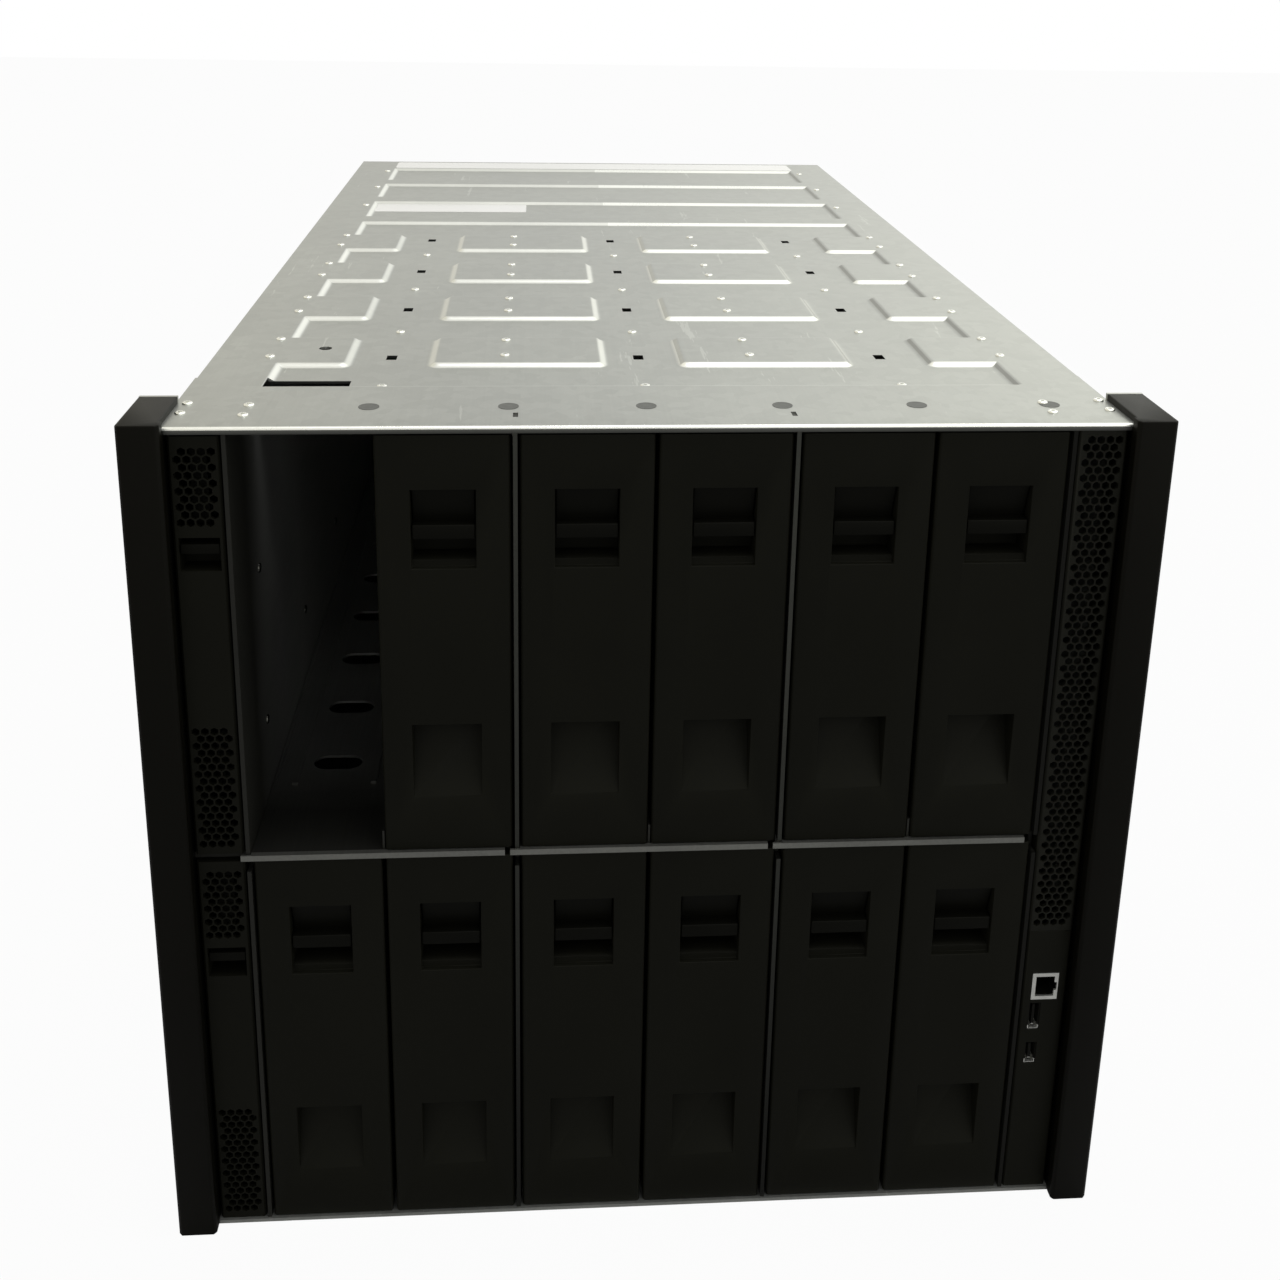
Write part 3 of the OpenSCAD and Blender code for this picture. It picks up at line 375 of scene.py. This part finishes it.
bpy.ops.object.select_all(action="DESELECT")
bpy.ops.mesh.primitive_grid_add(x_subdivisions=len(columns) - 1, y_subdivisions=len(rows) - 1, size=2.0)
cover = bpy.context.object
cover.name = cover.data.name = "cover_pressing"
for point in cover.data.vertices:
    x = columns[round((point.co.x + 1) / 2 * (len(columns) - 1))]
    y = rows[round((point.co.y + 1) / 2 * (len(rows) - 1))]
    inside = max(-reach(x, y, a) for a in sunk)
    beside = min(reach(x, y, p) for p in pads)
    share = min(max(min(inside, beside) / press_run, 0.0), 1.0)
    away = math.hypot(x - peep_x, y - peep_y)
    if ring_from < away < ring_to:
        x, y = peep_x + (x - peep_x) * peep_r / away, peep_y + (y - peep_y) * peep_r / away
    point.co = (x, y, cover_top - press_depth * share * share * (3 - 2 * share))
bpy.ops.object.mode_set(mode="EDIT")
pick(cover, "FACE", in_hole)
bpy.ops.mesh.delete(type="FACE")
pick(cover, "EDGE", lambda edge: all(v.co.y < cover_front + touch for v in edge.verts))
bpy.ops.mesh.extrude_region_move(TRANSFORM_OT_translate={"value": (0, 0, -(cover_high[2] - cover_low[2]))})
pick(cover, "EDGE", lambda edge: all(v.co.y < cover_front + touch and v.co.z > cover_top - touch
                                     for v in edge.verts))
bpy.ops.mesh.bevel(offset=bend_width, segments=5, affect="EDGES")
bpy.ops.object.mode_set(mode="OBJECT")
thicken(cover, sheet_gauge)
smooth(cover, 50.0)
zinc_shades = ((0.25, 0.256, 0.243), (0.50, 0.512, 0.484))
cover_steps = (cover_top, cover_top - 0.0013, cover_top - press_depth - 0.00015, cover_front)
dress(cover, zinc_sheet("pressed_zinc", *zinc_shades, 0.34, cover_steps))
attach(cover, "case")
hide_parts("top_cover")


# Clinch marks. Six round marks where the cover is pressed into the rail below it; the zinc is crushed
# and dull there, so they show darker than the sheet round them.
def another(pattern, place):
    """A copy of a pattern, with a mesh of its own, moved into its place."""
    piece = pattern.copy()
    piece.data = pattern.data.copy()
    bpy.context.scene.collection.objects.link(piece)
    piece.data.transform(place)
    return piece


def join(pieces, name):
    bpy.ops.object.select_all(action="DESELECT")
    for piece in pieces:
        piece.select_set(True)
    bpy.context.view_layer.objects.active = pieces[0]
    bpy.ops.object.join()
    pieces[0].name = pieces[0].data.name = name
    return pieces[0]


crushed_zinc, place = new_finish("crushed_zinc")
mottle = place.cloud(420.0, 3.0, 0.6)
coat(crushed_zinc, Base_Color=mottle.tint((0.075, 0.078, 0.074), (0.17, 0.175, 0.165)), Metallic=0.6,
     Roughness=0.5 + mottle * 0.14)
clinch_r, clinch_t = 0.0049, 0.0003
rim_width, ring_width, ring_depth = 0.0012, 0.0022, 0.00012
bpy.ops.object.select_all(action="DESELECT")
bpy.ops.mesh.primitive_cylinder_add(vertices=40, radius=clinch_r, depth=clinch_t, location=(0, 0, 0))
clinch = bpy.context.object
bpy.ops.object.mode_set(mode="EDIT")
pick(clinch, "FACE", lambda face: face.normal.z > 0.9)
bpy.ops.mesh.inset(thickness=rim_width)
bpy.ops.transform.translate(value=(0, 0, -ring_depth))
bpy.ops.mesh.inset(thickness=ring_width)
bpy.ops.transform.translate(value=(0, 0, ring_depth))
bpy.ops.object.mode_set(mode="OBJECT")
clinch_marks = [another(clinch, Matrix.Translation((i * bay_pitch - 0.0035, cover_front + 0.03, cover_top)))
                for i in range(-2, 4)]
bpy.data.objects.remove(clinch)
marks = join(clinch_marks, "clinch_marks")
smooth(marks)
dress(marks, crushed_zinc)
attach(marks, "case")


# Rivets. Zinc-plated semi-tubular rivets with a domed head and a hollow in the middle hold the cover,
# the rail and the bay wall. The head is modelled once and set on each rivet's place.
def own_copy(node, name, joined=True):
    """A copy of a CAD node's mesh with its doubles merged and, if asked, its flat faces joined."""
    piece = nodes[node].copy()
    piece.data = nodes[node].data.copy()
    piece.parent = None
    piece.name = piece.data.name = name
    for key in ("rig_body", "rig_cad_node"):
        if key in piece:
            del piece[key]
    bpy.context.scene.collection.objects.link(piece)
    take(piece)
    bpy.ops.object.mode_set(mode="EDIT")
    bpy.ops.mesh.select_all(action="SELECT")
    bpy.ops.mesh.remove_doubles(threshold=0.00001)
    if joined:
        bpy.ops.mesh.dissolve_limited(angle_limit=math.radians(0.5))
    bpy.ops.object.mode_set(mode="OBJECT")
    return piece


head_r, head_h = 0.0025, 0.0009
crown_width, hollow_width, hollow_depth, dome = 0.0007, 0.0009, 0.0007, 0.00075
bpy.ops.object.select_all(action="DESELECT")
bpy.ops.mesh.primitive_cylinder_add(vertices=24, radius=head_r, depth=head_h, location=(0, 0, head_h / 2))
head = bpy.context.object
bpy.ops.object.transform_apply(location=True)
bpy.ops.object.mode_set(mode="EDIT")
pick(head, "FACE", lambda face: face.normal.z > 0.9)
bpy.ops.mesh.inset(thickness=crown_width)
bpy.ops.mesh.inset(thickness=hollow_width)
bpy.ops.mesh.extrude_region_move(TRANSFORM_OT_translate={"value": (0, 0, -hollow_depth)})
pick(head, "EDGE", lambda edge: all(v.co.z > head_h - touch and v.co.xy.length > head_r - 0.0001
                                    for v in edge.verts))
bpy.ops.mesh.bevel(offset=dome, segments=4, affect="EDGES")
bpy.ops.object.mode_set(mode="OBJECT")
own_copy("cover_rivets", "rivet_spots")
bpy.ops.object.mode_set(mode="EDIT")
bpy.ops.mesh.select_all(action="SELECT")
bpy.ops.mesh.separate(type="LOOSE")
bpy.ops.object.mode_set(mode="OBJECT")
heads = []
for spot in list(bpy.context.selected_objects):
    low, high = Vector(spot.bound_box[0]), Vector(spot.bound_box[6])
    x, y, z = ((a + b) / 2 for a, b in zip(low, high))
    upright = high.z - low.z < high.x - low.x
    glint_foot = (x, y, low.z) if upright else (low.x, y, z)
    turn = Matrix.Identity(4) if upright else Matrix.Rotation(math.radians(90), 4, "Y")
    place = Matrix.Translation(glint_foot) @ turn
    heads.append(another(head, place))
    bpy.data.objects.remove(spot)
bpy.data.objects.remove(head)
rivets = join(heads, "rivet_heads")
smooth(rivets, 50.0)
plated, place = new_finish("zinc_plated_rivet")
polish = place.cloud(400.0, 2.0).tint((0.7, 0.71, 0.68), (0.94, 0.95, 0.91))
# Painted shade: rivet heads inside the bays, below the cover, are coloured dark.
bay_shade_mask = place.along(2) < cover_top - 0.02
coat(plated, Base_Color=bay_shade_mask.mix(polish, (0.09, 0.09, 0.08, 1.0)), Metallic=0.95,
     Roughness=0.16 + place.cloud(150.0, 2.0) * 0.14)
dress(rivets, plated)
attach(rivets, "case")
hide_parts("cover_rivets")


# Stickers. Two blank self-adhesive labels of white film, with rounded corners: a long one across the
# rear margin of the cover and a short one in the sunk band ahead of it.
film, place = new_finish("white_film")
fade = place.cloud(9.0, 4.0, 0.6)
soiling = fade * 0.8 + place.cloud(240.0, 2.0) * 0.2
coat(film, Base_Color=soiling.tint((0.86, 0.855, 0.8), (0.97, 0.965, 0.94)),
     Roughness=0.16 + fade * 0.16, Specular_IOR_Level=1.0, Normal=place.cloud(34.0, 3.0).bump(0.0004, 0.25))
film_gauge, film_corner = 0.00015, 0.003
worn_rim, worn_lift = 0.0004, 0.00003
for name, west, east, near, far, level in (
        ("rear_sticker", -0.189, 0.191, 0.7722, 0.8075, cover_top),
        ("band_sticker", -0.1865, -0.064, 0.5515, 0.5885, cover_top - press_depth)):
    bpy.ops.object.select_all(action="DESELECT")
    bpy.ops.mesh.primitive_plane_add(size=1.0, location=(0, 0, 0))
    sticker = bpy.context.object
    sticker.name = sticker.data.name = name
    middle = ((west + east) / 2, cover_front + (near + far) / 2, level + film_gauge)
    sticker.data.transform(Matrix.Translation(middle) @ Matrix.Diagonal((east - west, far - near, 1, 1)))
    bpy.ops.object.mode_set(mode="EDIT")
    bpy.ops.mesh.select_all(action="SELECT")
    bpy.ops.mesh.bevel(offset=film_corner, segments=5, affect="VERTICES")
    bpy.ops.mesh.inset(thickness=worn_rim)
    bpy.ops.transform.translate(value=(0, 0, worn_lift))
    bpy.ops.object.mode_set(mode="OBJECT")
    thicken(sticker, film_gauge)
    dress(sticker, film)
    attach(sticker, "case")


# Case sheets. The base pan, front rail, rear cage and rack flanges are the same galvanised sheet as
# the cover, bent and riveted.
rolled_zinc = zinc_sheet("rolled_zinc", *zinc_shades, 0.34)
for name in ("base_pan", "front_top_rail", "rear_cage", "rack_flanges"):
    dress(nodes[name], rolled_zinc)


# Bay walls, side walls, dividers and shelves. Zinc sheet with painted light and shade: the front
# edges and lips of the dividers and shelves are painted lighter, as light lines between the blanks, and
# the sheet behind them, the bay walls and the side walls' front edges are painted dark, a painted shade.
def two_tone_sheet(name, limit, front, behind, metal=0.85, gloss=0.5, fade=0.0):
    """Sheet in one pair of shades up to a depth behind the front, and in another beyond it: painted
    light and shade, each pair the tone that light or shadow gives that part. The front pair may darken
    towards the floor, a painted shade. Deeper in the case the pair behind gives way to bare zinc."""
    finish, place = new_finish(name)
    handling = place.cloud(8.0, 4.0, 0.6)
    rolling = place.stretched((700.0, 9.0, 700.0)).cloud(1.0, 3.0, 0.6)
    shade = handling * 0.6 + rolling * 0.4
    depth = place.along(1)
    near = depth < limit
    # Painted shade: the front pair darkens towards the floor by the given share.
    floor_shade_share = place.along(2).spread(0.05, 0.3, fade, 0.0)
    front_tone = floor_shade_share.mix(shade.tint(*front), (0.008, 0.008, 0.007, 1.0))
    deep_zinc_share = (depth + handling * 0.03).spread(limit + 0.05, limit + 0.19)
    back = deep_zinc_share.mix(shade.tint(*behind), shade.tint((0.26, 0.263, 0.25), (0.48, 0.485, 0.462)))
    coat(finish, Base_Color=near.mix(back, front_tone), Metallic=metal, Specular_IOR_Level=gloss,
         Roughness=0.44 + handling * 0.12 - near * 0.1,
         Normal=(rolling * 0.6 + handling * 0.4).bump(0.0001, 0.3))
    return finish


lip_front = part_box("bay_shelf_left")[0][1]
lit_band_to = lip_front + 0.003
# The dark tones behind the front band are a painted shade for the inside of the bays.
bay_shade_tones = ((0.02, 0.02, 0.0175), (0.05, 0.05, 0.045))
wall_shade_tones = ((0.01, 0.01, 0.0085), (0.022, 0.022, 0.019))
# Shelves and dividers: a lighter front band, painted light on their front edges, and painted shade behind it;
# the dividers' band darkens towards the floor, a painted shade.
shelf_lit_and_shaded = two_tone_sheet("shelf_lit_and_shaded", lit_band_to, ((0.10, 0.101, 0.092), (0.30, 0.303, 0.28)), bay_shade_tones)
divider_lit_and_shaded = two_tone_sheet("divider_lit_and_shaded", lit_band_to, ((0.03, 0.031, 0.027), (0.075, 0.077, 0.068)), bay_shade_tones,
                           fade=0.75)
# Bay walls: dark at the front and behind, a painted shade for the gaps beside the bays.
right_wall_shaded = two_tone_sheet("right_wall_shaded", lit_band_to, ((0.005, 0.005, 0.004), (0.011, 0.011, 0.009)),
                             wall_shade_tones, 0.0, 0.1)
left_wall_shaded = two_tone_sheet("left_wall_shaded", lit_band_to, ((0.016, 0.016, 0.0135), (0.03, 0.03, 0.026)),
                            wall_shade_tones, 0.0, 0.1)
# Side walls: their front edges behind the ear covers are painted dark, a painted shade; behind that they are
# zinc.
side_wall_shaded = two_tone_sheet("side_wall_shaded", lip_front + 0.012, ((0.004, 0.004, 0.0033), (0.008, 0.008, 0.0066)),
                            zinc_shades, 0.8, 0.1)
for finish, names in ((shelf_lit_and_shaded, ("bay_shelf_left", "bay_shelf_centre", "bay_shelf_right")),
                      (divider_lit_and_shaded, ("divider_left", "divider_right")), (right_wall_shaded, ("bay_wall_right",)),
                      (left_wall_shaded, ("bay_wall_left",)), (side_wall_shaded, ("side_wall_left", "side_wall_right"))):
    for name in names:
        dress(nodes[name], finish)


# Bay blanks. Injection-moulded black plastic with a fine spark-eroded grain, a finger recess near
# the top and a thumb scoop below. All eleven come from one mould.
def moulded_plastic(name, low, high, rough, gloss):
    finish, place = new_finish(name)
    grain = place.cloud(2600.0, 2.0, 0.6)
    patch = place.cloud(16.0, 3.0, 0.6)
    coat(finish, Base_Color=(patch * 0.6 + grain * 0.4).tint(low, high),
         Roughness=rough + patch * 0.12 + grain * 0.06 - 0.09, Specular_IOR_Level=gloss,
         Normal=grain.bump(0.00006, 0.5))
    return finish


def break_edges(piece, width, chosen, longer=0.0):
    """Rounds the piece's sharp edges whose ends are both chosen by place, if they are long enough."""
    sharp = math.radians(30.0)
    bpy.context.view_layer.objects.active = piece
    bpy.ops.object.mode_set(mode="EDIT")
    pick(piece, "EDGE", lambda edge: len(edge.link_faces) == 2 and edge.calc_face_angle() > sharp
         and edge.calc_length() > longer and all(chosen(v.co) for v in edge.verts))
    bpy.ops.mesh.bevel(offset=width, segments=2, profile=0.6, affect="EDGES")
    bpy.ops.object.mode_set(mode="OBJECT")


def cast_family(family, new_family, width, chosen, finish):
    """Models one of a family of like mouldings and sets a copy of it in the place of each."""
    first = family + "_upper_2"
    pattern = own_copy(first, new_family + "_pattern")
    break_edges(pattern, width, chosen)
    smooth(pattern)
    dress(pattern, finish)
    for name in [n for n in nodes if n.startswith(family + "_")]:
        shift = Vector(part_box(name)[0]) - Vector(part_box(first)[0])
        piece = another(pattern, Matrix.Translation(shift))
        piece.name = piece.data.name = name.replace(family, new_family)
        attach(piece, name)
        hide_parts(name)
    bpy.data.objects.remove(pattern)


moulded_black = moulded_plastic("moulded_black", (0.0048, 0.0048, 0.0031), (0.009, 0.009, 0.006), 0.52, 0.07)
face_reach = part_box("bay_blank_upper_2")[0][1] + 0.012
cast_family("bay_blank", "blank_moulding", 0.0005, lambda p: p.y < face_reach, moulded_black)


# Blank latches. The squeeze bar with its sloped finger plate is moulded in the same black plastic,
# coloured darker as a painted shade for the finger recess it sits in. Each bar rides in its own blank.
recess_shaded_black = moulded_plastic("recess_shaded_black", (0.0026, 0.0026, 0.0017), (0.0048, 0.0048, 0.0033), 0.48, 0.06)
cast_family("blank_latch", "squeeze_bar", 0.0004, lambda p: True, recess_shaded_black)


# Equipment columns. The narrow blanks, their latches, the air grille and the front panel are moulded
# in the same black plastic. The edges of the latches, the grille and the panel are broken.
for name in ("column_blank_upper", "column_blank_lower"):
    dress(nodes[name], moulded_black)
grille_black = moulded_plastic("grille_black", (0.009, 0.009, 0.0066), (0.0155, 0.0155, 0.0115), 0.5, 0.085)
for name, new_name, body, finish, edge_depth in (
        # The narrow latches take the squeeze bars' darker black, a painted shade.
        ("column_latch_upper", "narrow_bar_upper", "column_latch_upper", recess_shaded_black, 0.009),
        ("column_latch_lower", "narrow_bar_lower", "column_latch_lower", recess_shaded_black, 0.009),
        ("side_grille", "air_grille", "case", grille_black, 0.0006),
        ("front_panel", "column_panel", "case", moulded_black, 0.0006)):
    narrow = own_copy(name, new_name)
    edge_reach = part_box(name)[0][1] + edge_depth
    break_edges(narrow, 0.0004, lambda p: p.y < edge_reach, longer=0.0045)
    smooth(narrow)
    dress(narrow, finish)
    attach(narrow, body)
    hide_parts(name)


# Socket shells. The network socket has a bright plated rim round a black insert. The two narrow
# sockets sit deeper; their metal shells are coloured dark, a painted shade, and their lowest edge gets a
# painted highlight.
plated_shell, place = new_finish("plated_shell")
shell_low, shell_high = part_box("panel_jacks")
depth, height = place.along(1), place.along(2)
network_h, socket_gap, display_h, glint_band = 0.0159, 0.0026, 0.0164, 0.0023
display_low = shell_high[2] - network_h - socket_gap - display_h
rim = (depth < shell_low[1] + 0.0012) * (height > shell_high[2] - 0.017)
# Painted highlight along the lowest edge of the two narrow sockets; the rest of their shells is painted
# shade.
glint_foot = (height > display_low) * (height < display_low + glint_band) + (height < shell_low[2] + glint_band)
frame_and_glint = rim + glint_foot
polish = place.cloud(300.0, 2.0).tint((0.6, 0.6, 0.57), (0.82, 0.82, 0.78))
coat(plated_shell, Base_Color=frame_and_glint.mix((0.006, 0.006, 0.0048, 1), polish), Metallic=frame_and_glint * 0.8,
     Roughness=0.5 - frame_and_glint * 0.26, Specular_IOR_Level=0.08)
dress(nodes["panel_jacks"], plated_shell)


# Rack ear covers. Push-fit caps of dark grey plastic over the rack screws. The edges of their fronts
# and ends are rounded.
ear_grey = moulded_plastic("ear_grey", (0.0019, 0.0017, 0.0009), (0.0037, 0.0034, 0.0019), 0.46, 0.082)
lower_end, upper_end = 0.001, 0.43
for side in ("left", "right"):
    ear = own_copy("ear_cover_" + side, "ear_cap_" + side)
    ear_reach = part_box("ear_cover_" + side)[0][1] + 0.01
    break_edges(ear, 0.0006, lambda p: p.y < ear_reach or p.z > upper_end or p.z < lower_end)
    smooth(ear)
    dress(ear, ear_grey)
    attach(ear, "case")
    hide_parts("ear_cover_" + side)


# Midplane. A thick green circuit board across the case, which all modules plug into. The connectors
# on both of its faces are black.
board, place = new_finish("midplane_board")
depth = place.along(1)
board_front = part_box("midplane_board")[0][1] + 0.014
on_board = (depth > board_front - 0.0003) * (depth < board_front + 0.0033)
green = place.cloud(30.0, 3.0).tint((0.012, 0.06, 0.022), (0.022, 0.095, 0.035))
coat(board, Base_Color=on_board.mix((0.008, 0.008, 0.008, 1), green),
     Roughness=0.32 + place.cloud(60.0, 2.0) * 0.12)
dress(nodes["midplane_board"], board)


# Fan modules. Black plastic housings with a moulded finger guard, and rotors of the same plastic,
# which turn on the shafts of the housings' motors.
fan_black = moulded_plastic("fan_black", (0.009, 0.009, 0.009), (0.018, 0.018, 0.018), 0.44, 0.3)
dress(nodes["fan_housings"], fan_black)
for i in range(1, 11):
    dress(nodes["fan_rotor_%d" % i], fan_black)


# Power supplies. Zinc-plated boxes with a vented rear face, a black moulded handle and a mains inlet.
# The inlet is a black socket with three flat pins.
supply_zinc = zinc_sheet("supply_zinc", (0.3, 0.31, 0.31), (0.48, 0.49, 0.49), 0.38)
handle_black = moulded_plastic("handle_black", (0.009, 0.009, 0.009), (0.018, 0.018, 0.018), 0.42, 0.3)
supplies = own_copy("power_supplies", "supply_boxes", joined=False)
dress(supplies, supply_zinc)
supplies.data.materials.append(handle_black)
supply_low, supply_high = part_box("power_supplies")
supply_gap, inlet_margin, lining_slack, face_slack = 0.001, 0.005, 0.0002, 0.0006
supply_w = (supply_high[0] - supply_low[0] - 5 * supply_gap) / 6
supply_mid = (supply_low[2] + supply_high[2]) / 2
rear_face = cover_back
inlet_w, inlet_h, inlet_depth = 0.028, 0.021, 0.02
inlets = [supply_low[0] + i * (supply_w + supply_gap) + supply_w - inlet_margin - inlet_w / 2
          for i in range(6)]
for face in supplies.data.polygons:
    x, y, z = face.center
    in_inlet = abs(z - supply_mid) < inlet_h / 2 + lining_slack and \
        any(abs(x - inlet) < inlet_w / 2 + lining_slack for inlet in inlets)
    lining = in_inlet and rear_face - inlet_depth - 0.001 < y < rear_face - face_slack
    if lining or y > rear_face + face_slack:
        face.material_index = 1
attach(supplies, "case")
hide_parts("power_supplies")
plated_pin, place = new_finish("plated_pin")
coat(plated_pin, Base_Color=place.cloud(300.0, 2.0).tint((0.5, 0.5, 0.48), (0.75, 0.75, 0.72)), Metallic=0.95,
     Roughness=0.25 + place.cloud(120.0, 2.0) * 0.15)
pin_w, pin_h, pin_inset = 0.002, 0.006, 0.002
bpy.ops.object.select_all(action="DESELECT")
bpy.ops.mesh.primitive_cube_add(size=1.0, location=(0, 0, 0))
blade = bpy.context.object
blade.data.transform(Matrix.Diagonal((pin_w, inlet_depth - 2 * pin_inset, pin_h, 1)))
break_edges(blade, 0.0004, lambda p: p.y > 0.0)
pin_mid = rear_face - inlet_depth / 2 - pin_inset
blades = [another(blade, Matrix.Translation((inlet + x, pin_mid, supply_mid + z)))
          for inlet in inlets for x, z in ((-0.007, -0.002), (0.0, 0.002), (0.007, -0.002))]
bpy.data.objects.remove(blade)
pins = join(blades, "inlet_pins")
smooth(pins)
dress(pins, plated_pin)
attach(pins, "case")


# Rear filler panels. Black powder-coated sheet with slots for air and a pull tab at each end, which
# close the bays that hold no module.
powder_black = moulded_plastic("powder_black", (0.012, 0.012, 0.012), (0.024, 0.024, 0.024), 0.5, 0.35)
dress(nodes["rear_bay_blanks"], powder_black)

bpy.context.scene.view_settings.view_transform = "Standard"
